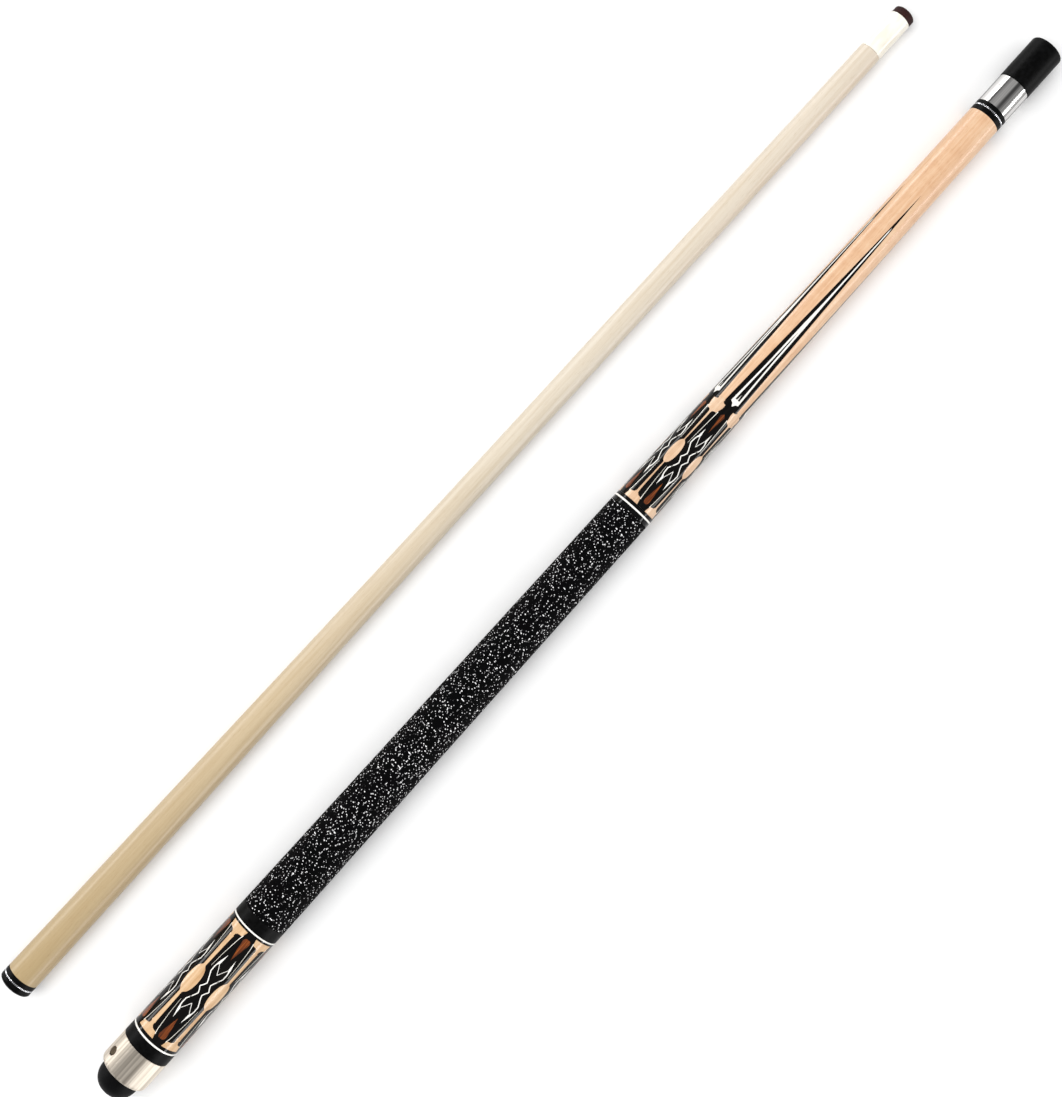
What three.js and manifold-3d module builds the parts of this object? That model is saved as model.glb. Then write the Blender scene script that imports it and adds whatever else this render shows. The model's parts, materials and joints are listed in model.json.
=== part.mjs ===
// A two-piece pool cue, taken apart: the butt in front and the shaft behind it, both lying on the floor.
// Millimetres, +Z up. Each half is drawn along its own axis X, with its joint face at x = 0:
// the butt runs from there to negative x, and the shaft to positive x.
import * as THREE from "three";
import { mergeVertices } from "three/addons/utils/BufferGeometryUtils.js";
import Module from "manifold-3d";

// An azimuth is in degrees round the axis from straight up, and positive away from the shaft.

// ---- Driving dimensions: general ----
const SIDES = 24; // flats round every turned piece, with one flat facing the floor
const FIT = 0.2; // radial gap between a piece and the one it sits in
const SEAM = 0.1; // gap along the axis between neighbouring rings
const STUD_R = 3.95; // joint thread, 5/16 inch
const STUD_BORE_R = STUD_R + FIT;

// ---- Driving dimensions: butt, stations along its axis ----
const PROTECTOR_END = 28.0;
const PROTECTOR_R = 9.8;
const COLLAR_REAR = -18.2;
const COLLAR_R = 9.68;
const JOINT_RING_R = 9.74;
const SILVER_RING = [-21.6, -20.8];
const FOREARM_FRONT = -24.8;
const FOREARM_REAR = -309.2;
const FOREARM_PROFILE = [
  [FOREARM_REAR, 12.42],
  [-215, 11.3],
  [-84, 10.1],
  [FOREARM_FRONT, 9.75],
];
const FRONT_WHITE_RING = [-312.3, -311.3];
const WRAP_FRONT = -315.0;
const WRAP_REAR = -611.4;
const REAR_WHITE_RING = [-619.8, -618.9];
const CAP_WHITE_RING = [-700.4, -699.4];
const CAP_FRONT = -708.0;
const CAP_REAR = -727.2;
const CAP_SHOULDER = 2.8; // length of the rounded rear shoulder
const CAP_REAR_R = 12.8;
const HANDLE_FRONT_R = 12.5; // radius at the front of the wrap
const HANDLE_TAPER = 0.0061; // radius gained per millimetre from there to the cap
const WRAP_THICKNESS = 0.7;
const HANDLE_TENON_R = 10.0; // core under the rings and the sleeve
const HANDLE_TENON_END = -718.3;
const BUMPER_END = -740.0;
const BUMPER_R = 12.0;
const BUMPER_FLAT_R = 3.0;
const BUMPER_STEM_R = 5.8;
const BUMPER_STEM_FRONT = -713.0;
const BOLT_BORE_R = 6.2;
const BOLT_BORE_FRONT = -650.0;
const BOLT = { rear: -702.0, front: -664.0, r: 5.9, hexAcross: 8.0, hexDepth: 7.0 };
const PIN = { rear: -46.0, front: 20.5 };
const SCREW = { rear: -342.0, front: -278.0, r: 4.6 };
const SPANNER_HOLE = { x: -718.6, azimuth: -55, r: 2.8, depth: 3.6 };

// ---- Driving dimensions: points let into the forearm ----
const POINT_COUNT = 5;
const FIRST_POINT_AZIMUTH = 12.5;
const POINT_BASE = -240.0;
const POINT_TIP = -83.0;
const POINT_BASE_HALF_ANGLE = 26.0;
const POINT_TIP_HALF_ANGLE = 0.8;
const POINT_DEPTH = 2.0;

// ---- Driving dimensions: shaft, stations along its axis ----
const SHAFT_COLLAR = { r: 9.75, taper: 0.005, silver: [2.3, 3.15], end: 6.05 };
const SHAFT_WOOD_REAR = 6.15;
const SHAFT_WOOD_FRONT = 694.8;
const SHAFT_PROFILE = [
  [SHAFT_WOOD_REAR, 9.7],
  [40, 9.4],
  [85, 9.1],
  [170, 8.4],
  [258, 7.65],
  [302, 7.3],
  [350, 7.05],
  [430, 6.92],
  [565, 6.75],
  [SHAFT_WOOD_FRONT, 6.5],
];
const FERRULE = { rear: 695.0, front: 719.3, rearR: 6.49, frontR: 6.4 };
const FERRULE_TENON = { r: 4.2, front: 716.0 };
const TIP = { rear: 719.5, wallFront: 722.6, apex: 725.0, r: 6.35 };
const INSERT = { r: 5.2, front: 22.0 };
const PLUG_DOME = 3.0;
const PLUG_STUD = { rear: -1.5, front: 17.5 };

// ---- Driving dimensions: how the halves lie ----
const SHAFT_JOINT_AT = { x: -732.0, y: 76.3 }; // seen from the butt's joint face
const SHAFT_YAW = -0.411; // degrees

const wasm = await Module();
wasm.setup();

// ---- Shape helpers ----

// Radius on a profile of [x, radius] stations, straight between neighbours.
function radiusAt(profile, x) {
  const next = Math.max(1, profile.findIndex((station) => station[0] >= x));
  const [x0, r0] = profile[next - 1];
  const [x1, r1] = profile[next];
  return r0 + ((r1 - r0) * (x - x0)) / (x1 - x0);
}

// Radius of the handle, one straight cone from the front of the wrap to the cap's shoulder.
function handleRadius(x) {
  return HANDLE_FRONT_R + (WRAP_FRONT - x) * HANDLE_TAPER;
}

// A solid turned about the X axis from [x, radius] corners, given in either direction.
// The outline starts and ends on the axis, or is a closed loop for a ring.
// The flats round it touch the circle of each stated radius.
function turned(corners, sides = SIDES) {
  const area = corners.reduce((sum, [x0, r0], i) => {
    const [x1, r1] = corners[(i + 1) % corners.length];
    return sum + x0 * r1 - x1 * r0;
  }, 0);
  const ordered = area > 0 ? [...corners].reverse() : [...corners];
  const onAxis = ordered[0][1] === 0;
  if (!onAxis) ordered.push(ordered[0]);
  const cornerScale = 1 / Math.cos(Math.PI / sides);
  const points = ordered.map(([x, r]) => new THREE.Vector2(r * cornerScale, x));
  const geometry = new THREE.LatheGeometry(points, sides, Math.PI / sides);
  return geometry.rotateZ(-Math.PI / 2);
}

// A ring or tube between two stations, with straight walls.
function ring(xRear, xFront, innerR, rearR, frontR = rearR) {
  return turned([
    [xRear, innerR],
    [xRear, rearR],
    [xFront, frontR],
    [xFront, innerR],
  ]);
}

// A plain rod with a chamfer at its front end.
function rod(xRear, xFront, r) {
  const chamfer = 1;
  const sides = 20;
  const corners = [
    [xRear, 0],
    [xRear, r],
    [xFront - chamfer, r],
    [xFront, r - chamfer],
    [xFront, 0],
  ];
  return turned(corners, sides);
}

// A quarter of an ellipse from the side wall to the end, as [x, radius] corners.
function domeCorners(xWall, wallR, xEnd, endR, steps) {
  const corners = [];
  for (let i = 0; i <= steps; i++) {
    const a = (Math.PI / 2) * (i / steps);
    corners.push([xWall + (xEnd - xWall) * Math.sin(a), endR + (wallR - endR) * Math.cos(a)]);
  }
  return corners;
}

function solidOf(geometry) {
  const bare = geometry.clone();
  bare.deleteAttribute("normal");
  bare.deleteAttribute("uv");
  const merged = mergeVertices(bare, 1e-3);
  return new wasm.Manifold(
    new wasm.Mesh({
      numProp: 3,
      vertProperties: new Float32Array(merged.attributes.position.array),
      triVerts: new Uint32Array(merged.index.array),
    }),
  );
}

function geometryOf(solid) {
  const mesh = solid.getMesh();
  const geometry = new THREE.BufferGeometry();
  geometry.setAttribute("position", new THREE.BufferAttribute(mesh.vertProperties, 3));
  geometry.setIndex(new THREE.BufferAttribute(mesh.triVerts, 1));
  geometry.computeVertexNormals();
  return geometry;
}

function cut(geometry, cutters) {
  const result = cutters.reduce((solid, cutter) => solid.subtract(solidOf(cutter)), solidOf(geometry));
  return geometryOf(result);
}

// A curved wedge that follows the forearm's surface, wide at the base and narrow at the tip.
// clearance grows it on every side, for the pocket that receives it.
function wedge(azimuth, clearance) {
  const stations = 8;
  const across = 4;
  const proud = clearance > 0 ? 1 : 0;
  const positions = [];
  for (let i = 0; i <= stations; i++) {
    const along = i / stations;
    const x = THREE.MathUtils.lerp(POINT_BASE - clearance, POINT_TIP + clearance, along);
    const r = radiusAt(FOREARM_PROFILE, x);
    const half =
      THREE.MathUtils.lerp(POINT_BASE_HALF_ANGLE, POINT_TIP_HALF_ANGLE, along) +
      THREE.MathUtils.radToDeg(clearance / r);
    for (const wallR of [r + proud, r - POINT_DEPTH - clearance])
      for (let j = 0; j <= across; j++) {
        const a = THREE.MathUtils.degToRad(azimuth + half * ((2 * j) / across - 1));
        positions.push(x, -wallR * Math.sin(a), wallR * Math.cos(a));
      }
  }
  const row = across + 1;
  const index = [];
  const quad = (a, b, c, d) => index.push(a, c, b, a, d, c);
  for (let i = 0; i < stations; i++) {
    const here = i * 2 * row;
    const next = here + 2 * row;
    for (let j = 0; j < across; j++) {
      quad(here + j, next + j, next + j + 1, here + j + 1);
      quad(here + row + j, here + row + j + 1, next + row + j + 1, next + row + j);
    }
    quad(here, here + row, next + row, next);
    quad(here + across, next + across, next + row + across, here + row + across);
  }
  const last = stations * 2 * row;
  for (let j = 0; j < across; j++) {
    quad(j, j + 1, row + j + 1, row + j);
    quad(last + j, last + row + j, last + row + j + 1, last + j + 1);
  }
  const geometry = new THREE.BufferGeometry();
  geometry.setAttribute("position", new THREE.Float32BufferAttribute(positions, 3));
  geometry.setIndex(index);
  geometry.computeVertexNormals();
  return geometry;
}

function pointAzimuth(i) {
  return FIRST_POINT_AZIMUTH + (360 / POINT_COUNT) * i;
}

// ---- Materials, one made for each mesh ----
const LOOKS = {
  maple: [0xe8b890, 0.35, 0],
  shaftMaple: [0xe0d2be, 0.5, 0],
  ebony: [0x0b0a0a, 0.2, 0],
  phenolic: [0x090909, 0.25, 0],
  white: [0xf3efe6, 0.3, 0],
  ivory: [0xf8f4e8, 0.35, 0],
  silver: [0xc8c8cc, 0.25, 1],
  steel: [0xb8b6b4, 0.12, 1],
  nickel: [0xa8a096, 0.35, 1],
  brass: [0xb89048, 0.3, 1],
  rubber: [0x080808, 0.75, 0],
  leather: [0x2d0c0c, 0.7, 0],
  linen: [0x141414, 0.85, 0],
};

function piece(group, name, geometry, look) {
  const [color, roughness, metalness] = LOOKS[look];
  const mesh = new THREE.Mesh(geometry, new THREE.MeshStandardMaterial({ color, roughness, metalness }));
  mesh.name = name;
  group.add(mesh);
}

// ---- Butt: joint ----

function jointCollar() {
  return turned([
    [COLLAR_REAR, 6.7],
    [COLLAR_REAR, COLLAR_R],
    [-0.3, COLLAR_R],
    [0, COLLAR_R - 0.3],
    [0, STUD_BORE_R],
    [-3.0, STUD_BORE_R],
    [-3.0, 6.7],
  ]);
}

function addJoint(butt) {
  const [silverRear, silverFront] = SILVER_RING;
  piece(butt, "joint_collar", jointCollar(), "steel");
  piece(butt, "joint_pin", rod(PIN.rear, PIN.front, STUD_R), "steel");
  piece(butt, "joint_ring_front", ring(silverFront + SEAM, COLLAR_REAR - SEAM, 6.7, JOINT_RING_R), "phenolic");
  piece(butt, "joint_ring_silver", ring(silverRear, silverFront, 6.7, JOINT_RING_R), "silver");
  piece(butt, "joint_ring_rear", ring(FOREARM_FRONT + SEAM, silverRear - SEAM, 6.7, JOINT_RING_R), "phenolic");
}

// ---- Butt: forearm with its points ----

function forearm() {
  const blank = turned([
    [PIN.rear - FIT, 0],
    [PIN.rear - FIT, STUD_BORE_R],
    [-3.2, STUD_BORE_R],
    [-3.2, 6.5],
    [FOREARM_FRONT, 6.5],
    ...[...FOREARM_PROFILE].reverse(),
    [FOREARM_REAR, SCREW.r + FIT],
    [SCREW.front + FIT, SCREW.r + FIT],
    [SCREW.front + FIT, 0],
  ]);
  const pockets = [];
  for (let i = 0; i < POINT_COUNT; i++) pockets.push(wedge(pointAzimuth(i), FIT));
  return cut(blank, pockets);
}

function addForearm(butt) {
  piece(butt, "forearm", forearm(), "maple");
  for (let i = 0; i < POINT_COUNT; i++)
    piece(butt, `forearm_point_${i + 1}`, wedge(pointAzimuth(i), 0), "ebony");
}

// ---- Butt: handle ----

function handleCore() {
  const under = WRAP_THICKNESS + FIT;
  return turned([
    [SCREW.rear - FIT, 0],
    [SCREW.rear - FIT, SCREW.r + FIT],
    [FOREARM_REAR - FIT, SCREW.r + FIT],
    [FOREARM_REAR - FIT, HANDLE_TENON_R],
    [WRAP_FRONT - FIT, HANDLE_TENON_R],
    [WRAP_FRONT - FIT, handleRadius(WRAP_FRONT) - under],
    [WRAP_REAR + FIT, handleRadius(WRAP_REAR) - under],
    [WRAP_REAR + FIT, HANDLE_TENON_R],
    [HANDLE_TENON_END, HANDLE_TENON_R],
    [HANDLE_TENON_END, BOLT_BORE_R],
    [BOLT_BORE_FRONT, BOLT_BORE_R],
    [BOLT_BORE_FRONT, 0],
  ]);
}

// The wrap is wound on the core, and its ends run down to the core's shoulders.
function wrap() {
  const inner = (x) => handleRadius(x) - WRAP_THICKNESS;
  return turned([
    [WRAP_REAR, inner(WRAP_REAR)],
    [WRAP_REAR, handleRadius(WRAP_REAR)],
    [WRAP_FRONT, handleRadius(WRAP_FRONT)],
    [WRAP_FRONT, inner(WRAP_FRONT)],
  ]);
}

function handleRing(xRear, xFront) {
  return ring(xRear, xFront, HANDLE_TENON_R + FIT, handleRadius(xRear), handleRadius(xFront));
}

function addHandle(butt) {
  piece(butt, "connecting_screw", rod(SCREW.rear, SCREW.front, SCREW.r), "steel");
  piece(butt, "handle_core", handleCore(), "maple");
  piece(butt, "wrap_ring_front", handleRing(FRONT_WHITE_RING[1] + SEAM, FOREARM_REAR - SEAM), "phenolic");
  piece(butt, "wrap_ring_front_white", handleRing(...FRONT_WHITE_RING), "white");
  piece(butt, "wrap_ring_front_rear", handleRing(WRAP_FRONT + SEAM, FRONT_WHITE_RING[0] - SEAM), "phenolic");
  piece(butt, "wrap", wrap(), "linen");
  piece(butt, "wrap_ring_rear", handleRing(REAR_WHITE_RING[1] + SEAM, WRAP_REAR - SEAM), "phenolic");
  piece(butt, "wrap_ring_rear_white", handleRing(...REAR_WHITE_RING), "white");
  piece(butt, "butt_sleeve", handleRing(CAP_WHITE_RING[1] + SEAM, REAR_WHITE_RING[0] - SEAM), "ebony");
  piece(butt, "cap_ring_white", handleRing(...CAP_WHITE_RING), "white");
  piece(butt, "cap_ring_black", handleRing(CAP_FRONT + SEAM, CAP_WHITE_RING[0] - SEAM), "phenolic");
}

// ---- Butt: metal cap, weight bolt and bumper ----

// A blind hole for a pin spanner, square to the surface on the side towards the shaft.
function spannerHoleCutter() {
  const { x, azimuth, r, depth } = SPANNER_HOLE;
  const surface = handleRadius(x);
  const margin = 1;
  const length = depth + margin;
  const outward = new THREE.Vector3(0, 0, 1).applyAxisAngle(
    new THREE.Vector3(1, 0, 0),
    THREE.MathUtils.degToRad(azimuth),
  );
  const cutter = new THREE.CylinderGeometry(r, r, length, 16);
  cutter.applyQuaternion(new THREE.Quaternion().setFromUnitVectors(new THREE.Vector3(0, 1, 0), outward));
  const middle = surface + margin - length / 2;
  return cutter.translate(x, outward.y * middle, outward.z * middle);
}

function buttCap() {
  const shoulder = domeCorners(CAP_REAR + CAP_SHOULDER, handleRadius(CAP_REAR), CAP_REAR, CAP_REAR_R, 4);
  const body = turned([
    [CAP_REAR, BUMPER_STEM_R + FIT],
    ...shoulder.reverse(),
    [CAP_FRONT, handleRadius(CAP_FRONT)],
    [CAP_FRONT, HANDLE_TENON_R + FIT],
    [HANDLE_TENON_END - FIT, HANDLE_TENON_R + FIT],
    [HANDLE_TENON_END - FIT, BUMPER_STEM_R + FIT],
  ]);
  return cut(body, [spannerHoleCutter()]);
}

function weightBolt() {
  const margin = 1;
  const hexR = BOLT.hexAcross / Math.sqrt(3);
  const key = new THREE.CylinderGeometry(hexR, hexR, BOLT.hexDepth + margin, 6);
  key.rotateZ(-Math.PI / 2);
  key.translate(BOLT.rear + (BOLT.hexDepth - margin) / 2, 0, 0);
  return cut(rod(BOLT.rear, BOLT.front, BOLT.r), [key]);
}

function bumper() {
  const xWall = CAP_REAR - 2.5;
  return turned([
    [BUMPER_END, 0],
    ...domeCorners(xWall, BUMPER_R, BUMPER_END, BUMPER_FLAT_R, 7).reverse(),
    [CAP_REAR - FIT, BUMPER_R],
    [CAP_REAR - FIT, BUMPER_STEM_R],
    [BUMPER_STEM_FRONT, BUMPER_STEM_R],
    [BUMPER_STEM_FRONT, 0],
  ]);
}

function addCap(butt) {
  piece(butt, "butt_cap", buttCap(), "nickel");
  piece(butt, "weight_bolt", weightBolt(), "steel");
  piece(butt, "bumper", bumper(), "rubber");
}

// ---- Butt: joint protector ----

const PROTECTOR_FACE = 0.3;
const PROTECTOR_BORE_FRONT = 23.0;
const PROTECTOR_INSERT_R = 6.2;

function protectorShell() {
  const boreR = PROTECTOR_INSERT_R + FIT;
  return turned([
    [PROTECTOR_BORE_FRONT, 0],
    [PROTECTOR_BORE_FRONT, boreR],
    [PROTECTOR_FACE, boreR],
    [PROTECTOR_FACE, PROTECTOR_R],
    ...domeCorners(PROTECTOR_END - 1.4, PROTECTOR_R, PROTECTOR_END, PROTECTOR_R - 1.4, 4),
    [PROTECTOR_END, 0],
  ]);
}

function addProtector(butt) {
  piece(butt, "protector_shell", protectorShell(), "phenolic");
  piece(
    butt,
    "protector_insert",
    ring(PROTECTOR_FACE + 0.4, PROTECTOR_BORE_FRONT - FIT, STUD_BORE_R, PROTECTOR_INSERT_R),
    "brass",
  );
}

// ---- Shaft ----

function shaftWood() {
  return turned([
    [INSERT.front + FIT, 0],
    [INSERT.front + FIT, INSERT.r + FIT],
    [FIT, INSERT.r + FIT],
    [FIT, 7.0],
    [SHAFT_WOOD_REAR, 7.0],
    ...SHAFT_PROFILE,
    [SHAFT_WOOD_FRONT, FERRULE_TENON.r],
    [FERRULE_TENON.front, FERRULE_TENON.r],
    [FERRULE_TENON.front, 0],
  ]);
}

function shaftCollarRing(xRear, xFront) {
  const r = (x) => SHAFT_COLLAR.r - SHAFT_COLLAR.taper * x;
  return ring(xRear, xFront, 7.0 + FIT, r(xRear), r(xFront));
}

function ferrule() {
  return turned([
    [FERRULE_TENON.front + FIT, 0],
    [FERRULE_TENON.front + FIT, FERRULE_TENON.r + FIT],
    [FERRULE.rear, FERRULE_TENON.r + FIT],
    [FERRULE.rear, FERRULE.rearR],
    [FERRULE.front, FERRULE.frontR],
    [FERRULE.front, 0],
  ]);
}

function tip() {
  return turned([
    [TIP.rear, 0],
    [TIP.rear, TIP.r],
    ...domeCorners(TIP.wallFront, TIP.r, TIP.apex, 0, 5),
  ]);
}

function addShaft(shaft) {
  const [silverRear, silverFront] = SHAFT_COLLAR.silver;
  piece(shaft, "shaft_wood", shaftWood(), "shaftMaple");
  piece(shaft, "shaft_collar_rear", shaftCollarRing(0, silverRear - SEAM), "phenolic");
  piece(shaft, "shaft_collar_silver", shaftCollarRing(silverRear, silverFront), "silver");
  piece(shaft, "shaft_collar_front", shaftCollarRing(silverFront + SEAM, SHAFT_COLLAR.end), "phenolic");
  piece(shaft, "shaft_insert", ring(FIT, INSERT.front, STUD_BORE_R, INSERT.r), "brass");
  piece(shaft, "ferrule", ferrule(), "ivory");
  piece(shaft, "tip", tip(), "leather");
}

// ---- Shaft: joint plug ----

function plugHead() {
  const rim = -FIT;
  const socketEnd = PLUG_STUD.rear - FIT;
  return turned([
    [socketEnd, 0],
    [socketEnd, STUD_BORE_R],
    [rim, STUD_BORE_R],
    ...domeCorners(rim, SHAFT_COLLAR.r, rim - PLUG_DOME, 0, 6),
  ]);
}

function addPlug(shaft) {
  piece(shaft, "plug_head", plugHead(), "phenolic");
  piece(shaft, "plug_stud", rod(PLUG_STUD.rear, PLUG_STUD.front, STUD_R), "brass");
}

// ---- Both halves on the floor ----

// Pitch that lays the lowest flats of a cone, given by two of its radii, along the floor.
function restingPitch(xThick, rThick, xThin, rThin) {
  return Math.atan((rThick - rThin) / Math.abs(xThick - xThin));
}

function lowestPoint(group) {
  return new THREE.Box3().setFromObject(group, true).min.z;
}

const cue = new THREE.Group();

const butt = new THREE.Group();
addJoint(butt);
addForearm(butt);
addHandle(butt);
addCap(butt);
addProtector(butt);
butt.rotation.y = restingPitch(CAP_FRONT, handleRadius(CAP_FRONT), WRAP_FRONT, HANDLE_FRONT_R);
cue.add(butt);

const shaftPlace = new THREE.Group();
const shaft = new THREE.Group();
addShaft(shaft);
addPlug(shaft);
shaft.rotation.y = restingPitch(0, SHAFT_COLLAR.r, FERRULE.front, FERRULE.frontR);
shaftPlace.add(shaft);
shaftPlace.position.set(SHAFT_JOINT_AT.x, SHAFT_JOINT_AT.y, 0);
shaftPlace.rotation.z = THREE.MathUtils.degToRad(SHAFT_YAW);
cue.add(shaftPlace);

butt.position.z = -lowestPoint(butt);
shaftPlace.position.z = -lowestPoint(shaftPlace);

// The part's origin is the middle of its footprint, on the floor.
const footprint = new THREE.Box3().setFromObject(cue, true).getCenter(new THREE.Vector3());
butt.position.x -= footprint.x;
butt.position.y -= footprint.y;
shaftPlace.position.x -= footprint.x;
shaftPlace.position.y -= footprint.y;

export default cue;
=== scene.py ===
import json
import math

import bmesh
import bpy
from mathutils import Matrix, Vector


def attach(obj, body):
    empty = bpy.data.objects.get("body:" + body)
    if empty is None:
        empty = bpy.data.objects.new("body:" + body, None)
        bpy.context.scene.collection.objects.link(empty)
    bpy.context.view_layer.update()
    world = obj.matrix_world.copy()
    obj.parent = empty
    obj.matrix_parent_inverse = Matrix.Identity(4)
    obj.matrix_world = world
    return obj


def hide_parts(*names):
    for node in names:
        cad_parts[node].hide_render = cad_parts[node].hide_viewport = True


# The looks of a two-piece pool cue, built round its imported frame.
# Lengths in this file are millimetres along or round an axis; Blender gets metres.
# x runs along an axis from its joint face, towards the tip. Azimuths are degrees from straight up,
# positive away from the other half on the butt.

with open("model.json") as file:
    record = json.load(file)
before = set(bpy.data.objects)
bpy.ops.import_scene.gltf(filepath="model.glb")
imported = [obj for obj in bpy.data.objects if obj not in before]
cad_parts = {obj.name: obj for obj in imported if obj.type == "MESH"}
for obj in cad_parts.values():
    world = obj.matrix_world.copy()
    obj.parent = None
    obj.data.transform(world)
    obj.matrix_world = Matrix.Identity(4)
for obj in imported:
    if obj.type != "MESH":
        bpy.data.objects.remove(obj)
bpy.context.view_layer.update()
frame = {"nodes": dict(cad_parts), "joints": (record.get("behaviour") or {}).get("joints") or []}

MM = 0.001
SMOOTH_SIDES = 96  # round a turned piece
THREAD_SIDES = 48
SHARP_ANGLE = math.radians(32)  # a fold sharper than this stays a hard corner
EASED_EDGE = 0.06
INSERT_BEVEL = 0.2

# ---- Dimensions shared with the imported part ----
FOREARM_PROFILE = [(-309.2, 12.42), (-215, 11.3), (-84, 10.1), (-24.8, 9.75)]
SHAFT_PROFILE = [
    (6.15, 9.7), (40, 9.4), (85, 9.1), (170, 8.4), (258, 7.65),
    (302, 7.3), (350, 7.05), (430, 6.92), (565, 6.75), (694.8, 6.5),
]
HANDLE_FRONT = -315.0
HANDLE_FRONT_R = 12.5
HANDLE_TAPER = 0.0061
WRAP_THICKNESS = 0.7
STUD_R = 3.95
STUD_BORE_R = 4.15
THREAD_PITCH = 1.814
THREAD_DEPTH = 0.75
PLAIN_SHANK_R = STUD_R - 0.02
COLLAR_R = 9.68
JOINT_RING_R = 9.74
JOINT_BORE_R = 6.7  # inside the collar and the rings behind it
HANDLE_BORE_R = 10.2  # inside the rings, sleeve and cap
PROTECTOR = {"r": 9.8, "bore_r": 6.4, "bore_front": 23.0, "rounding": 1.4, "insert_r": 6.2}
BUMPER = {"r": 12.0, "stem_r": 5.8, "flat_r": 3.0, "wall": 2.5, "gap": 0.2}
CAP_REAR = -727.2
CAP = {"shoulder": 2.8, "rear_r": 12.8, "bore_r": 6.0, "web": -718.5}
SPANNER_HOLE = {"x": -718.6, "azimuth": -55, "r": 2.8, "depth": 3.6}
SHAFT_COLLAR = {"r": 9.75, "taper": 0.005, "bore_r": 7.2}
SHAFT_SPIGOT_R = 7.0  # wood inside the shaft's rings
INSERT = {"r": 5.2, "bore_r": 5.4, "bore_front": 22.2}
FERRULE = {"rear_r": 6.49, "front_r": 6.4, "bore_r": 4.4, "bore_front": 716.2}
FERRULE_TENON = {"r": 4.2, "front": 716}
TIP = {"r": 6.35, "wall": 722.6}

# ---- Dimensions of the inlays ----
REPEATS = 5
STEP_ANGLE = 360 / REPEATS
WOOD_SINK = 0.09  # the ground wood lies this far under the finished surface
FIELD_SINK = 0.06
SPINDLE_SINK = 0.045
VENEER_SINK = 0.03
CORE_SINK = 0.015
INLAY_DEPTH = 0.3
POINT_CENTRE = 12.5  # azimuth of the first long point
FOREARM_MOTIF = 12.8  # azimuth of the first motif's centre
SLEEVE_MOTIF = 8.0
SLEEVE_MIDDLE = -659.2
FOREARM_MIDDLE = -274.0
FIELD_FRONT = -235.1
LINE_WIDTH = 0.58
FORK_WIDTH = 0.3
WHISKER_WIDTHS = (0.42, 0.1)  # at the flange, and where it fades out
LONGEST_RUNG_GAP = 5.0
WIDEST_FACET = 2.0  # across an inlay, in degrees
MITRE_LIMIT = 0.45  # keeps a line's sharp bends from growing long corners

# ---- Light and camera, in metres, degrees and watts ----
STRIP = {"length": 3.2, "width": 0.26, "aside": 1.5, "height": 0.40, "power": 30}
OVERHEAD = {"size": 1.6, "place": (-0.5, 0.7, 2.0), "power": 22}
SURROUND = {"lit": 0.92, "mirrored": 0.45}
FLOOR_HALF_SIZE = 18.0
FLOOR_DROP = 0.0001  # keeps the floor from meeting the lowest faces
CAMERA = {"from_joint": (-0.3653, 0.0266), "height": 0.957, "turn": -47.898, "lens": 56.6}


# ---- Places: one upright frame for each half's axis ----

def axis_matrix(joint_name, sign):
    """Frame of an axis: X along it, Z up and square to it, from a screw joint's place."""
    joint = next(j for j in frame["joints"] if j["name"] == joint_name)
    along = (Vector(joint["axis"]) * sign).normalized()
    up = (Vector((0, 0, 1)) - along * along.z).normalized()
    across = up.cross(along)
    matrix = Matrix((along, across, up)).transposed().to_4x4()
    matrix.translation = Vector(joint["pos_m"])
    return matrix


BUTT = axis_matrix("protector_turn", 1)
SHAFT = axis_matrix("plug_turn", -1)


def span(node, half):
    """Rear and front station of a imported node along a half's axis, in millimetres."""
    to_axis = half.inverted()
    stations = [(to_axis @ v.co).x / MM for v in frame["nodes"][node].data.vertices]
    return min(stations), max(stations)


def handle_radius(x):
    return HANDLE_FRONT_R + (HANDLE_FRONT - x) * HANDLE_TAPER


def forearm_radius(x):
    for (x0, r0), (x1, r1) in zip(FOREARM_PROFILE, FOREARM_PROFILE[1:]):
        if x <= x1:
            return r0 + (r1 - r0) * (x - x0) / (x1 - x0)
    return FOREARM_PROFILE[-1][1]


def place(x, r, azimuth):
    """A point round an axis, in that axis's own frame, in metres."""
    a = math.radians(azimuth)
    return Vector((x, -r * math.sin(a), r * math.cos(a))) * MM


def dome(x_wall, wall_r, x_end, end_r, steps=10):
    """A quarter of an ellipse from a side wall to an end, as (x, r) corners."""
    corners = []
    for i in range(steps + 1):
        a = math.pi / 2 * i / steps
        x = x_wall + (x_end - x_wall) * math.sin(a)
        corners.append((x, end_r + (wall_r - end_r) * math.cos(a)))
    return corners


# ---- Meshes ----

def finish_mesh(bm):
    """Outward normals, and smooth shading with the real corners kept sharp."""
    bmesh.ops.recalc_face_normals(bm, faces=bm.faces)
    for face in bm.faces:
        face.smooth = True
    for edge in bm.edges:
        edge.smooth = len(edge.link_faces) == 2 and edge.calc_face_angle(0) < SHARP_ANGLE


def make_piece(name, bm, half, body, material, replaced=()):
    """Puts a mesh made in an axis's own frame in place, on its body."""
    finish_mesh(bm)
    mesh = bpy.data.meshes.new(name)
    bm.to_mesh(mesh)
    bm.free()
    mesh.transform(half)
    mesh.materials.append(material)
    piece = bpy.data.objects.new(name, mesh)
    bpy.context.scene.collection.objects.link(piece)
    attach(piece, body)
    if replaced:
        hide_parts(*replaced)
    return piece


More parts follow.
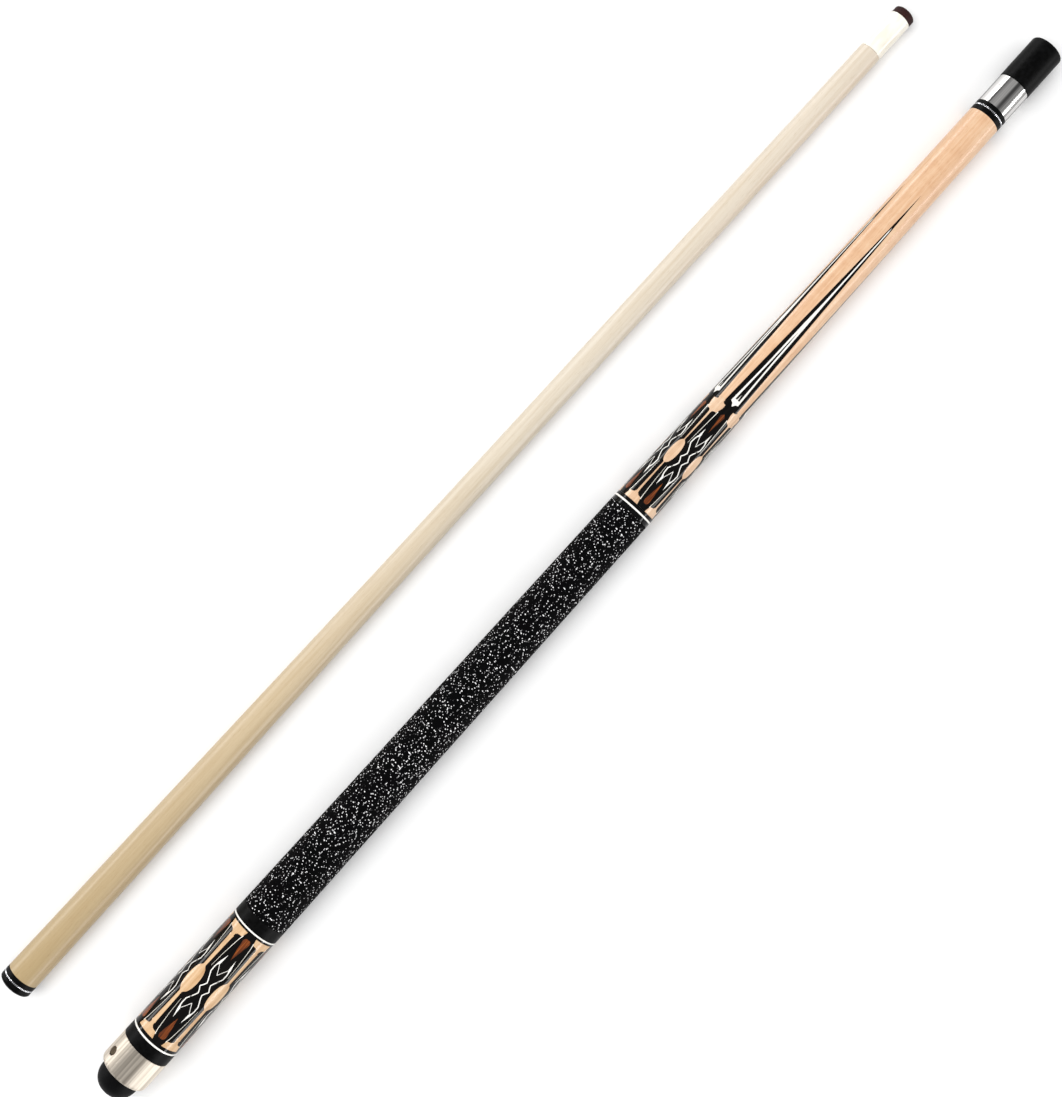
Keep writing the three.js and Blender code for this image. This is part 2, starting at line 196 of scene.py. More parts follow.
def turned_mesh(corners, ripple=None, sides=SMOOTH_SIDES):
    """A turned solid from (x, r) corners: from axis to axis, or a closed loop for a ring.
    ripple gives a change of radius at (x, azimuth), for threads and knurls.
    The UV map is in centimetres: along the axis, and round the surface."""
    bm = bmesh.new()
    uv = bm.loops.layers.uv.new("surface")
    rows = []
    for x, r in corners:
        if r == 0:
            rows.append([bm.verts.new(place(x, 0, 0))] * (sides + 1))
            continue
        row = []
        for k in range(sides):
            azimuth = 360 * k / sides - 180
            change = ripple(x, azimuth, r) if ripple else 0
            row.append(bm.verts.new(place(x, r + change, azimuth)))
        rows.append(row + [row[0]])
    order = list(range(len(rows)))
    if corners[0][1] > 0:
        order.append(0)
    for i, j in zip(order, order[1:]):
        for k in range(sides):
            spots = [(i, k), (i, k + 1), (j, k + 1), (j, k)]
            verts, places = [], []
            for row, column in spots:
                vert = rows[row][column]
                if vert not in verts:
                    verts.append(vert)
                    places.append((row, column))
            if len(verts) < 3:
                continue
            face = bm.faces.new(verts)
            for loop, (row, column) in zip(face.loops, places):
                x, r = corners[row]
                loop[uv].uv = (x / 10, 2 * math.pi * r * column / sides / 10)
    return bm


def turned(name, half, body, corners, material, replaced, ripple=None, sides=SMOOTH_SIDES):
    """A turned piece, from (x, r) corners, in place on its body."""
    bm = turned_mesh(corners, ripple, sides)
    return make_piece(name, bm, half, body, material, replaced)


def ring_corners(rear, front, inner_r, rear_r, front_r, edge=EASED_EDGE):
    """A ring with straight walls and slightly eased outer edges."""
    return [
        (rear, inner_r), (rear, rear_r - edge), (rear + edge, rear_r),
        (front - edge, front_r), (front, front_r - edge), (front, inner_r),
    ]


def threaded(x, azimuth, r):
    """Change of radius on a screw thread; none where the corner isn't at the crest radius."""
    if r != STUD_R:
        return 0
    turn = (x / THREAD_PITCH - azimuth / 360) % 1
    return -THREAD_DEPTH * abs(2 * turn - 1)


def threaded_corners(rear, front, plain_front):
    """A stud: plain from the rear to plain_front, then threaded up to a short point."""
    chamfer, point, step = 0.8, 1.0, 0.2
    corners = [
        (rear, 0), (rear, STUD_R - chamfer), (rear + chamfer, PLAIN_SHANK_R), (plain_front, PLAIN_SHANK_R),
    ]
    thread_rear = plain_front + step / 2
    length = front - point - thread_rear
    steps = round((front - point - plain_front) / step)
    for i in range(steps + 1):
        corners.append((thread_rear + length * i / steps, STUD_R))
    return corners + [(front, STUD_R - point), (front, 0)]


def inlay_mesh(shapes, radius, sink):
    """Thin solids that follow a turned surface. Each shape is a list of rungs
    ((x, azimuth), (x, azimuth)), from one side of the inlay to the other."""
    bm = bmesh.new()
    for rungs in shapes:
        widest = max(math.hypot(b[0] - a[0], b[1] - a[1]) for a, b in rungs)
        across = max(1, math.ceil(widest / WIDEST_FACET))
        layers = []
        for depth in (sink, sink + INLAY_DEPTH):
            grid = []
            for a, b in subdivided(rungs):
                row = []
                for j in range(across + 1):
                    x = a[0] + (b[0] - a[0]) * j / across
                    azimuth = a[1] + (b[1] - a[1]) * j / across
                    row.append(bm.verts.new(place(x, radius(x) - depth, azimuth)))
                grid.append(row)
            layers.append(grid)
        top, low = layers
        last = len(top) - 1
        for i in range(last):
            for j in range(across):
                bm.faces.new((top[i][j], top[i + 1][j], top[i + 1][j + 1], top[i][j + 1]))
                bm.faces.new((low[i][j], low[i][j + 1], low[i + 1][j + 1], low[i + 1][j]))
            for j in (0, across):
                bm.faces.new((top[i][j], low[i][j], low[i + 1][j], top[i + 1][j]))
        for i in (0, last):
            for j in range(across):
                bm.faces.new((top[i][j], top[i][j + 1], low[i][j + 1], low[i][j]))
    bmesh.ops.remove_doubles(bm, verts=bm.verts, dist=1e-7)
    return bm


def subdivided(rungs):
    """The same rungs with more between them, so that the inlay follows the taper."""
    fine = [rungs[0]]
    for (a0, b0), (a1, b1) in zip(rungs, rungs[1:]):
        steps = max(1, math.ceil(abs(a1[0] - a0[0]) / LONGEST_RUNG_GAP))
        for i in range(1, steps + 1):
            t = i / steps
            a = (a0[0] + (a1[0] - a0[0]) * t, a0[1] + (a1[1] - a0[1]) * t)
            b = (b0[0] + (b1[0] - b0[0]) * t, b0[1] + (b1[1] - b0[1]) * t)
            fine.append((a, b))
    return fine


def blade(stations, centre):
    """A shape that is symmetrical about a line along the axis, from (x, half-angle) stations."""
    return [((x, centre - half), (x, centre + half)) for x, half in stations]


def stroke(path, centre, radius, width=LINE_WIDTH, end_width=None):
    """A line inlay of constant or tapering width along (x, azimuth) points."""
    end_width = width if end_width is None else end_width
    flat = [Vector((x, math.radians(a) * radius(x))) for x, a in path]
    rungs = []
    for i, point in enumerate(flat):
        before = flat[i] - flat[i - 1] if i > 0 else flat[1] - flat[0]
        after = flat[i + 1] - flat[i] if i < len(flat) - 1 else before
        along = before.normalized() + after.normalized()
        side = Vector((-along.y, along.x)).normalized()
        corner = max(MITRE_LIMIT, abs(side.dot(Vector((-after.y, after.x)).normalized())))
        half = (width + (end_width - width) * i / (len(flat) - 1)) / 2 / corner
        ends = []
        for p in (point - side * half, point + side * half):
            ends.append((p.x, math.degrees(p.y / radius(p.x)) + centre))
        rungs.append(tuple(ends))
    return rungs


def centres(first):
    """Azimuths of the five copies of a pattern."""
    return [first + STEP_ANGLE * k for k in range(REPEATS)]


def mirrored(path, sign_x, sign_a, middle):
    """A path of (distance from the middle, angle) points, mirrored to one quarter of a motif."""
    return [(middle + sign_x * u, sign_a * a) for u, a in path]


# ---- Materials ----

def linear(r, g, b):
    """A colour seen as 0 to 255 values, as the linear colour that a shader takes."""
    def channel(value):
        c = value / 255
        return c / 12.92 if c <= 0.04045 else ((c + 0.055) / 1.055) ** 2.4
    return (channel(r), channel(g), channel(b), 1)


class Look:
    """A new node material, with short calls for the nodes that its pattern needs."""

    def __init__(self, name, roughness, metallic=0.0, specular=0.5, coat=0.0, coat_roughness=0.05):
        self.material = bpy.data.materials.new(name)
        self.material.use_nodes = True
        self.tree = self.material.node_tree
        self.surface = self.tree.nodes["Principled BSDF"]
        self.set("Roughness", roughness)
        self.set("Metallic", metallic)
        self.set("Specular IOR Level", specular)
        self.set("Coat Weight", coat)
        self.set("Coat Roughness", coat_roughness)

    def set(self, socket, value):
        self.surface.inputs[socket].default_value = value

    def node(self, kind, **inputs):
        made = self.tree.nodes.new(kind)
        for name, value in inputs.items():
            if isinstance(value, bpy.types.NodeSocket):
                self.tree.links.new(value, made.inputs[name])
            else:
                made.inputs[name].default_value = value
        return made

    def link(self, output, socket):
        self.tree.links.new(output, self.surface.inputs[socket])

    def coordinates(self, scale, source="Object"):
        spot = self.node("ShaderNodeTexCoord").outputs[source]
        return self.node("ShaderNodeMapping", Vector=spot, Scale=scale).outputs["Vector"]

    def noise(self, scale, detail=2.0, source="Object"):
        vector = self.coordinates(scale, source)
        made = self.node("ShaderNodeTexNoise", Vector=vector, Scale=1.0, Detail=detail)
        return made.outputs["Fac"]

    def math(self, operation, a, b=0.0):
        made = self.tree.nodes.new("ShaderNodeMath")
        made.operation = operation
        for socket, value in zip(made.inputs, (a, b)):
            if isinstance(value, bpy.types.NodeSocket):
                self.tree.links.new(value, socket)
            else:
                socket.default_value = value
        return made.outputs[0]

    def ramp(self, factor, stops):
        made = self.node("ShaderNodeValToRGB", Fac=factor)
        elements = made.color_ramp.elements
        while len(elements) < len(stops):
            elements.new(0.5)
        for element, (position, colour) in zip(elements, stops):
            element.position = position
            element.color = colour
        return made.outputs["Color"]

    def blend(self, factor, a, b, mode="MIX"):
        made = self.tree.nodes.new("ShaderNodeMix")
        made.data_type = "RGBA"
        made.blend_type = mode
        for socket, value in ((0, factor), (6, a), (7, b)):
            if isinstance(value, bpy.types.NodeSocket):
                self.tree.links.new(value, made.inputs[socket])
            else:
                made.inputs[socket].default_value = value
        return made.outputs[2]

    def bump(self, height, distance):
        made = self.node("ShaderNodeBump", Height=height, Strength=1.0, Distance=distance)
        self.link(made.outputs["Normal"], "Normal")

    def vary_roughness(self, factor, low, high):
        made = self.node("ShaderNodeMapRange", Value=factor)
        made.inputs["To Min"].default_value = low
        made.inputs["To Max"].default_value = high
        self.link(made.outputs["Result"], "Roughness")


def maple(name, dark, middle, light, coat):
    """Straight-grained maple: long soft streaks, fine pores and a faint cross figure."""
    look = Look(name, 0.34, specular=0.35, coat=coat, coat_roughness=0.06)
    streaks = look.noise((22, 600, 600), 3)
    figure = look.noise((160, 90, 90), 2)
    pores = look.noise((260, 5200, 5200), 2)
    mixed = look.math("ADD", look.math("MULTIPLY", streaks, 0.7), look.math("MULTIPLY", figure, 0.3))
    colour = look.ramp(mixed, [(0.32, linear(*dark)), (0.5, linear(*middle)), (0.68, linear(*light))])
    specks = look.ramp(pores, [(0.30, linear(214, 196, 178)), (0.42, (1, 1, 1, 1))])
    look.link(look.blend(0.6, colour, specks, "MULTIPLY"), "Base Color")
    look.vary_roughness(streaks, 0.28, 0.42)
    look.bump(pores, 0.00002)
    return look.material


def shaft_maple():
    """Pale shaft maple, darkened towards the joint by painted shade."""
    length = 0.7
    look = Look("shaft maple", 0.42, specular=0.35, coat=0.15, coat_roughness=0.25)
    spot = look.node("ShaderNodeTexCoord").outputs["Object"]
    along = look.node("ShaderNodeSeparateXYZ", Vector=spot).outputs["X"]
    share = look.math("DIVIDE", look.math("SUBTRACT", along, SHAFT.translation.x), length)
    # Painted shade: the shaft's colour darkens towards its joint end and lightens towards the tip.
    painted_shade_along_shaft = look.ramp(share, [
        (0.0, linear(176, 153, 112)), (0.3, linear(197, 177, 144)),
        (0.6, linear(215, 204, 186)), (1.0, linear(219, 207, 190)),
    ])
    grain = look.noise((16, 620, 620), 3)
    pores = look.noise((210, 4800, 4800), 2)
    streaks = look.ramp(grain, [(0.3, linear(240, 234, 224)), (0.6, (1, 1, 1, 1))])
    specks = look.ramp(pores, [(0.28, linear(222, 210, 192)), (0.4, (1, 1, 1, 1))])
    colour = look.blend(0.75, painted_shade_along_shaft, streaks, "MULTIPLY")
    look.link(look.blend(0.55, colour, specks, "MULTIPLY"), "Base Color")
    look.vary_roughness(grain, 0.36, 0.5)
    look.bump(pores, 0.00002)
    return look.material


def dark_gloss(name, roughness, tone, fibre):
    """Black wood or resin under a clear gloss, with a barely visible grain."""
    look = Look(name, roughness, specular=0.12, coat=0.05, coat_roughness=0.03)
    grain = look.noise(fibre, 3)
    look.link(look.ramp(grain, [(0.35, linear(3, 3, 3)), (0.75, linear(*tone))]), "Base Color")
    look.vary_roughness(grain, roughness * 0.8, roughness * 1.3)
    return look.material


def satin_black():
    """Turned black resin with a satin finish that mirrors little."""
    look = Look("satin black resin", 0.45, specular=0.06)
    grain = look.noise((420, 420, 420), 3)
    look.link(look.ramp(grain, [(0.35, linear(3, 3, 3)), (0.75, linear(13, 13, 14))]), "Base Color")
    look.vary_roughness(grain, 0.38, 0.52)
    look.bump(grain, 0.00001)
    return look.material


def pale_resin(name, base, shade, roughness):
    """White or ivory resin with a soft cloudiness."""
    look = Look(name, roughness, specular=0.4, coat=0.3, coat_roughness=0.08)
    cloud = look.noise((90, 260, 260), 2)
    look.link(look.ramp(cloud, [(0.35, linear(*shade)), (0.6, linear(*base))]), "Base Color")
    look.vary_roughness(cloud, roughness * 0.85, roughness * 1.15)
    return look.material


def amber_wood():
    """Red-brown wood of the small spearheads, with a fine grain."""
    look = Look("amber wood", 0.25, specular=0.3, coat=0.12, coat_roughness=0.05)
    grain = look.noise((70, 1500, 1500), 3)
    look.link(look.ramp(grain, [
        (0.3, linear(62, 26, 6)), (0.5, linear(112, 51, 10)), (0.7, linear(156, 80, 18)),
    ]), "Base Color")
    look.vary_roughness(grain, 0.2, 0.32)
    return look.material


def streaked_metal(name, dark, light, roughness, streak_scale, depth):
    """Metal with fine lines. They run along the cue or round it, by the streak scale."""
    look = Look(name, roughness, metallic=1.0)
    lines = look.noise(streak_scale, 3)
    look.link(look.ramp(lines, [(0.35, linear(*dark)), (0.62, linear(*light))]), "Base Color")
    look.vary_roughness(lines, roughness * 0.75, roughness * 1.35)
    look.bump(lines, depth)
    return look.material


def beaded_silver():
    """A silver ring with fine notches round it."""
    look = Look("beaded silver", 0.25, metallic=1.0)
    spot = look.node("ShaderNodeTexCoord").outputs["UV"]
    around = look.node("ShaderNodeSeparateXYZ", Vector=spot).outputs["Y"]
    notch_pitch = 0.1  # centimetres
    wave = look.math("SINE", look.math("MULTIPLY", around, 2 * math.pi / notch_pitch))
    height = look.math("ADD", look.math("MULTIPLY", wave, 0.5), 0.5)
    look.link(look.ramp(height, [(0.15, linear(70, 70, 74)), (0.6, linear(226, 226, 230))]), "Base Color")
    look.bump(height, 0.00012)
    return look.material


def rubber():
    """Moulded black rubber with a fine matt texture."""
    look = Look("moulded rubber", 0.6, specular=0.07)
    grain = look.noise((2400, 2400, 2400), 2)
    look.link(look.ramp(grain, [(0.35, linear(4, 4, 5)), (0.7, linear(12, 12, 13))]), "Base Color")
    look.vary_roughness(grain, 0.45, 0.65)
    look.bump(grain, 0.00005)
    return look.material


def leather():
    """Dark red-brown layered leather, scuffed and fibrous."""
    look = Look("tip leather", 0.75, specular=0.25)
    fibres = look.noise((2600, 1500, 1500), 4)
    layers = look.noise((1500, 60, 60), 2)
    colour = look.ramp(fibres, [
        (0.3, linear(30, 8, 8)), (0.55, linear(52, 17, 15)), (0.75, linear(84, 34, 28)),
    ])
    bands = look.ramp(layers, [(0.4, linear(190, 180, 180)), (0.6, (1, 1, 1, 1))])
    look.link(look.blend(0.5, colour, bands, "MULTIPLY"), "Base Color")
    look.bump(fibres, 0.00012)
    return look.material


def linen():
    """Black linen thread wound side by side, each thread flecked with white."""
    thread_pitch = 0.07  # centimetres, as the UV map
    fleck_length = 0.11
    slant = 0.12
    fleck_shift = 7.31  # sets each thread's flecks apart from its neighbours'
    look = Look("flecked linen", 0.85, specular=0.05)
    spot = look.node("ShaderNodeTexCoord").outputs["UV"]
    parts = look.node("ShaderNodeSeparateXYZ", Vector=spot)
    along, around = parts.outputs["X"], parts.outputs["Y"]
    slanted = look.math("ADD", along, look.math("MULTIPLY", around, slant))
    threads = look.math("DIVIDE", slanted, thread_pitch)
    number = look.math("FLOOR", threads)
    across = look.math("SUBTRACT", look.math("FRACT", threads), 0.5)
    profile = look.math("SUBTRACT", 1.0, look.math("MULTIPLY", look.math("MULTIPLY", across, across), 4.0))
    length = look.math("DIVIDE", around, fleck_length)
    cell = look.node("ShaderNodeCombineXYZ", X=look.math("MULTIPLY", number, fleck_shift), Y=length)
    flecks = look.node("ShaderNodeTexNoise", Vector=cell.outputs["Vector"], Scale=1.0, Detail=0.0)
    patches = look.noise((3.1, 2.3, 1), 1, "UV")
    level = look.math("ADD", flecks.outputs["Fac"], look.math("MULTIPLY", patches, 0.07))
    crest = look.math("MULTIPLY", level, look.math("ADD", 0.82, look.math("MULTIPLY", profile, 0.18)))
    look.link(look.ramp(crest, [
        (0.0, linear(2, 2, 3)), (0.67, linear(5, 5, 6)),
        (0.71, linear(160, 158, 160)), (0.76, linear(255, 255, 255)),
    ]), "Base Color")
    look.bump(profile, 0.00016)
    return look.material


def floor_paint():
    """Plain pale floor with a very faint tooth."""
    look = Look("pale floor", 0.75, specular=0.15)
    grain = look.noise((30, 30, 30), 2)
    look.link(look.ramp(grain, [(0.3, linear(246, 246, 246)), (0.7, linear(249, 249, 249))]), "Base Color")
    return look.material


FOREARM_WOOD = maple("forearm maple", (212, 166, 127), (223, 182, 145), (230, 196, 162), 0.12)
SPINDLE_WOOD = maple("inlay maple", (204, 164, 128), (220, 184, 150), (230, 200, 170), 0.3)
SLEEVE_WOOD = maple("sleeve inlay maple", (196, 152, 106), (212, 174, 130), (224, 190, 150), 0.3)
CORE_WOOD = maple("core maple", (196, 158, 112), (214, 180, 138), (226, 198, 160), 0.0)
SHAFT_WOOD = shaft_maple()
BLACK_WOOD = dark_gloss("black wood", 0.10, (16, 13, 12), (30, 900, 900))
GLOSS_RESIN = dark_gloss("gloss black resin", 0.12, (11, 11, 12), (300, 300, 300))
BLACK_RESIN = satin_black()
WHITE_RESIN = pale_resin("white resin", (250, 248, 243), (240, 237, 230), 0.22)
IVORY_RESIN = pale_resin("ivory resin", (250, 246, 235), (240, 234, 218), 0.3)
AMBER_WOOD = amber_wood()
NICKEL = streaked_metal("brushed nickel", (168, 159, 147), (222, 213, 200), 0.56, (5, 520, 520), 0.00002)
STEEL = streaked_metal("polished steel", (52, 51, 52), (238, 236, 234), 0.16, (4, 330, 330), 0.00002)
PLAIN_STEEL = streaked_metal("turned steel", (150, 150, 152), (196, 196, 198), 0.32, (900, 60, 60), 0.00002)
BRASS = streaked_metal("turned brass", (176, 132, 62), (216, 174, 98), 0.28, (800, 60, 60), 0.00002)
SILVER = beaded_silver()
RUBBER = rubber()
LEATHER = leather()
LINEN = linen()


# ---- Butt: joint, forearm and its inlays ----

def joint_ring_radius(x):
    """The rings behind the collar have no taper."""
    return JOINT_RING_R


def butt_ring(name, node, radius, inner_r, material):
    """A ring of the butt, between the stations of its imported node."""
    rear, front = span(node, BUTT)
    corners = ring_corners(rear, front, inner_r, radius(rear), radius(front))
    turned(name, BUTT, "butt", corners, material, [node])


def joint_pieces():
    """Steel collar, threaded pin and the three rings behind the collar."""
    rear, front = span("joint_collar", BUTT)
    chamfer, face_rear = 0.3, -3
    corners = [
        (rear, JOINT_BORE_R), (rear, COLLAR_R - EASED_EDGE), (rear + EASED_EDGE, COLLAR_R),
        (-chamfer, COLLAR_R), (-0.1, COLLAR_R - EASED_EDGE), (front, COLLAR_R - chamfer),
        (front, STUD_BORE_R), (face_rear, STUD_BORE_R), (face_rear, JOINT_BORE_R),
    ]
    turned("collar", BUTT, "butt", corners, STEEL, ["joint_collar"])
    rear, front = span("joint_pin", BUTT)
    pin = threaded_corners(rear, front, -1.0)
    turned("threaded_pin", BUTT, "butt", pin, PLAIN_STEEL, ["joint_pin"],
           threaded, THREAD_SIDES)
    for name, node, material, slot in (
        ("collar_ring_front", "joint_ring_front", BLACK_RESIN, "black_resin"),
        ("collar_ring_silver", "joint_ring_silver", SILVER, "silver_ring"),
        ("collar_ring_rear", "joint_ring_rear", BLACK_RESIN, "black_resin"),
    ):
        butt_ring(name, node, joint_ring_radius, JOINT_BORE_R, material)


def inlay(name, shapes, radius, sink, material, replaced=()):
    """Inlays of one kind on the butt, as one piece."""
    bm = inlay_mesh(shapes, radius, sink)
    make_piece(name, bm, BUTT, "butt", material, replaced)


def forearm_wood():
    """Maple forearm with the pin's bore at its front and the connecting screw's at its rear."""
    rear = FOREARM_PROFILE[0][0]
    front = FOREARM_PROFILE[-1][0]
    skin = [(x, r - WOOD_SINK) for x, r in reversed(FOREARM_PROFILE)]
    spigot_r, spigot_front, pin_bore_rear = 6.5, -3.2, -46.2
    screw_bore_r, screw_bore_front = 4.8, -277.8
    corners = [
        (pin_bore_rear, 0), (pin_bore_rear, STUD_BORE_R), (spigot_front, STUD_BORE_R),
        (spigot_front, spigot_r), (front, spigot_r), *skin,
        (rear, screw_bore_r), (screw_bore_front, screw_bore_r), (screw_bore_front, 0),
    ]
    turned("forearm_wood", BUTT, "butt", corners, FOREARM_WOOD, ["forearm"])


def forearm_field():
    """Black band at the rear of the forearm, which the points grow out of."""
    rear = FOREARM_PROFILE[0][0]
    thickness = 0.5
    outer = [(x, forearm_radius(x) - FIELD_SINK) for x in (rear, FIELD_FRONT)]
    inner = [(x, r - thickness) for x, r in outer]
    corners = [inner[0], *outer, inner[1]]
    turned("forearm_black_field", BUTT, "butt", corners, BLACK_WOOD, [])


def forearm_points():
    """The five long points: black, a white forked veneer, and a black core in its fork."""
    black = [(FIELD_FRONT, 26.2), (-81, 0)]
    white = [
        (-235.5, 0), (-232.9, 13.2), (-230.9, 12.9), (-216, 9.7), (-202, 7.5), (-188, 6.6),
        (-175, 5.5), (-161, 3.2), (-147, 2.1), (-108, 1.4), (-105, 0),
    ]
    core = [(-230.9, 6.9), (-216, 4.9), (-202, 2.6), (-188, 1.5), (-181.5, 0)]
    spike = [(-231.2, 1.6), (-227.1, 0)]
    every = centres(POINT_CENTRE)
    for k, centre in enumerate(every):
        node = f"forearm_point_{k + 1}"
        name = f"black_point_{k + 1}"
        inlay(name, [blade(black, centre)], forearm_radius, FIELD_SINK, BLACK_WOOD, [node])
    inlay("point_white_veneers", [blade(white, c) for c in every], forearm_radius, VENEER_SINK,
          WHITE_RESIN)
    inlay("point_black_cores", [blade(core, c) for c in every], forearm_radius, CORE_SINK,
          BLACK_WOOD)
    inlay("point_white_spikes", [blade(spike, c) for c in every], forearm_radius, 0.0,
          WHITE_RESIN)


def lens(middle, half_length, half_angle, steps=12):
    """A long oval with full ends, as (x, half-angle) stations without its two tips."""
    fullness = 0.8  # 1 gives a plain ellipse
    stations = []
    for i in range(1, steps):
        a = math.pi * i / steps
        stations.append((middle - half_length * math.cos(a), half_angle * math.sin(a) ** fullness))
    return stations


def forearm_spindles():
    """Maple spindles between the motifs, and the cream whiskers beside their stems."""
    spindle = [
        (-309.2, 22.5), (-305.4, 18.6), (-302.3, 2.9), (-282.2, 1.5),
        *lens(FOREARM_MIDDLE, 7.9, 14.2), (-265.8, 1.5), (-245.4, 2.9), (-243.6, 15.8),
        (-239.6, 20.8), (-237.5, 20.8), (-235.4, 10.4), (-234.8, 9.8),
    ]
    rear_whisker = [(-306.0, 19.6), (-303, 18.0), (-292, 14.4), (-283, 12.6)]
    front_whisker = [(-242.6, 18.4), (-247, 17.2), (-257, 14.6), (-266, 12.6)]
    spindles, whiskers = [], []
    for centre in centres(FOREARM_MOTIF + STEP_ANGLE / 2):
        spindles.append(blade(spindle, centre))
        for path in (rear_whisker, front_whisker):
            for sign in (-1, 1):
                side = [(x, sign * a) for x, a in path]
                whiskers.append(stroke(side, centre, forearm_radius, *WHISKER_WIDTHS))
    inlay("forearm_spindles", spindles, forearm_radius, SPINDLE_SINK, SPINDLE_WOOD)
    inlay("forearm_whiskers", whiskers, forearm_radius, VENEER_SINK, IVORY_RESIN)


def line_work(centre, middle, radius, outline, fork, head):
    """One motif's white lines: a waisted outline, a fork inside it, and four arrowheads."""
    shapes = []
    for sign_x in (-1, 1):
        for sign_a in (-1, 1):
            shapes.append(stroke(mirrored(outline, sign_x, sign_a, middle), centre, radius))
            shapes.append(stroke(mirrored(fork, sign_x, sign_a, middle), centre, radius, FORK_WIDTH))
            low = mirrored([h[0] for h in head], sign_x, sign_a, middle)
            high = mirrored([h[1] for h in head], sign_x, sign_a, middle)
            shapes.append([((a[0], a[1] + centre), (b[0], b[1] + centre)) for a, b in zip(low, high)])
    return shapes


def forearm_motifs():
    """White lines and amber spearheads between the forearm's spindles."""
    outline = [(0, 12.9), (1.6, 8.2), (3.4, 5.0), (5.0, 7.6), (9.3, 17.6), (12.4, 16.6), (14.6, 14.4)]
    fork = [(9.0, 0), (11.6, 4.2), (14.8, 9.4)]
    head = [((13.6, 13.6), (13.6, 15.0)), ((15.2, 8.8), (15.2, 14.6)), ((20.1, 12.4), (20.1, 12.5))]
    rear_spear = [(-306.1, 3.0), (-305.4, 6.2), (-304.2, 7.7), (-298.5, 4.6), (-291.4, 0)]
    front_spear = [(-255.0, 0), (-248.0, 3.6), (-242.8, 7.0), (-241.4, 0)]
    lines, spears = [], []
    for centre in centres(FOREARM_MOTIF):
        lines += line_work(centre, FOREARM_MIDDLE, forearm_radius, outline, fork, head)
        spears += [blade(rear_spear, centre), blade(front_spear, centre)]
    inlay("forearm_white_lines", lines, forearm_radius, CORE_SINK, WHITE_RESIN)
    inlay("forearm_amber_spears", spears, forearm_radius, VENEER_SINK, AMBER_WOOD)


# ---- Butt: handle, sleeve and cap ----

def handle_rings():
    """Black and white rings either side of the wrap and in front of the cap."""
    for name, node, material, slot in (
        ("front_ring_black", "wrap_ring_front", GLOSS_RESIN, "black_resin"),
        ("front_ring_white", "wrap_ring_front_white", WHITE_RESIN, "white_resin"),
        ("front_ring_rear", "wrap_ring_front_rear", GLOSS_RESIN, "black_resin"),
        ("rear_ring_black", "wrap_ring_rear", BLACK_RESIN, "black_resin"),
        ("rear_ring_white", "wrap_ring_rear_white", WHITE_RESIN, "white_resin"),
        ("cap_white_ring", "cap_ring_white", WHITE_RESIN, "white_resin"),
        ("cap_black_ring", "cap_ring_black", BLACK_RESIN, "black_resin"),
    ):
        butt_ring(name, node, handle_radius, HANDLE_BORE_R, material)


def linen_wrap():
    """The wrap, with stations enough for its weave to follow the taper."""
    rear, front = span("wrap", BUTT)
    inner = (front, handle_radius(front) - WRAP_THICKNESS)
    corners = [(rear, handle_radius(rear) - WRAP_THICKNESS)]
    steps = 60
    for i in range(steps + 1):
        x = rear + (front - rear) * i / steps
        corners.append((x, handle_radius(x)))
    turned("linen_wrap", BUTT, "butt", corners + [inner], LINEN, ["wrap"])


def sleeve():
    """Black sleeve with maple spindles, white lines and amber spearheads, the same both ways."""
    rear, front = span("butt_sleeve", BUTT)
    rear_r = handle_radius(rear) - FIELD_SINK
    front_r = handle_radius(front) - FIELD_SINK
    corners = ring_corners(rear, front, HANDLE_BORE_R, rear_r, front_r)
    turned("sleeve_black", BUTT, "butt", corners, BLACK_WOOD, ["butt_sleeve"])
    stem = 3.6
    quarter = [(38.2, 24.0), (34.6, 20.2), (31.2, 6.0), (29.6, 5.2), (9.6, stem)]
    spindle = [(SLEEVE_MIDDLE - u, half) for u, half in quarter]
    spindle += lens(SLEEVE_MIDDLE, 9.1, 16.4)
    spindle += [(SLEEVE_MIDDLE + u, half) for u, half in reversed(quarter)]
    spindle = [(x, max(half, stem)) for x, half in spindle]
    whisker = [(35.4, 21.4), (32.2, 18.6), (21, 14.0), (12, 12.2)]
    outline = [(0, 12.4), (1.7, 8.0), (3.5, 4.8), (5.2, 7.4), (9.9, 16.5), (13.0, 16.9), (15.2, 15.8)]
    fork = [(10.0, 0), (12.6, 5.2), (15.6, 11.6)]
    head = [((14.2, 15.4), (14.2, 16.8)), ((16.2, 11.2), (16.2, 16.6)), ((22.2, 10.5), (22.2, 10.6))]
    spear = [(35.3, 4.6), (34.6, 7.6), (33.4, 8.8), (28.0, 5.6), (20.9, 0)]
    spindles, whiskers, lines, spears = [], [], [], []
    for centre in centres(SLEEVE_MOTIF + STEP_ANGLE / 2):
        spindles.append(blade(spindle, centre))
        for sign_x in (-1, 1):
            for sign_a in (-1, 1):
                path = mirrored(whisker, sign_x, sign_a, SLEEVE_MIDDLE)
                whiskers.append(stroke(path, centre, handle_radius, *WHISKER_WIDTHS))
    for centre in centres(SLEEVE_MOTIF):
        lines += line_work(centre, SLEEVE_MIDDLE, handle_radius, outline, fork, head)
        for sign_x in (-1, 1):
            spears.append(blade([(SLEEVE_MIDDLE + sign_x * u, half) for u, half in spear], centre))
    inlay("sleeve_spindles", spindles, handle_radius, SPINDLE_SINK, SLEEVE_WOOD)
    inlay("sleeve_whiskers", whiskers, handle_radius, VENEER_SINK, IVORY_RESIN)
    inlay("sleeve_white_lines", lines, handle_radius, CORE_SINK, WHITE_RESIN)
    inlay("sleeve_amber_spears", spears, handle_radius, VENEER_SINK, AMBER_WOOD)


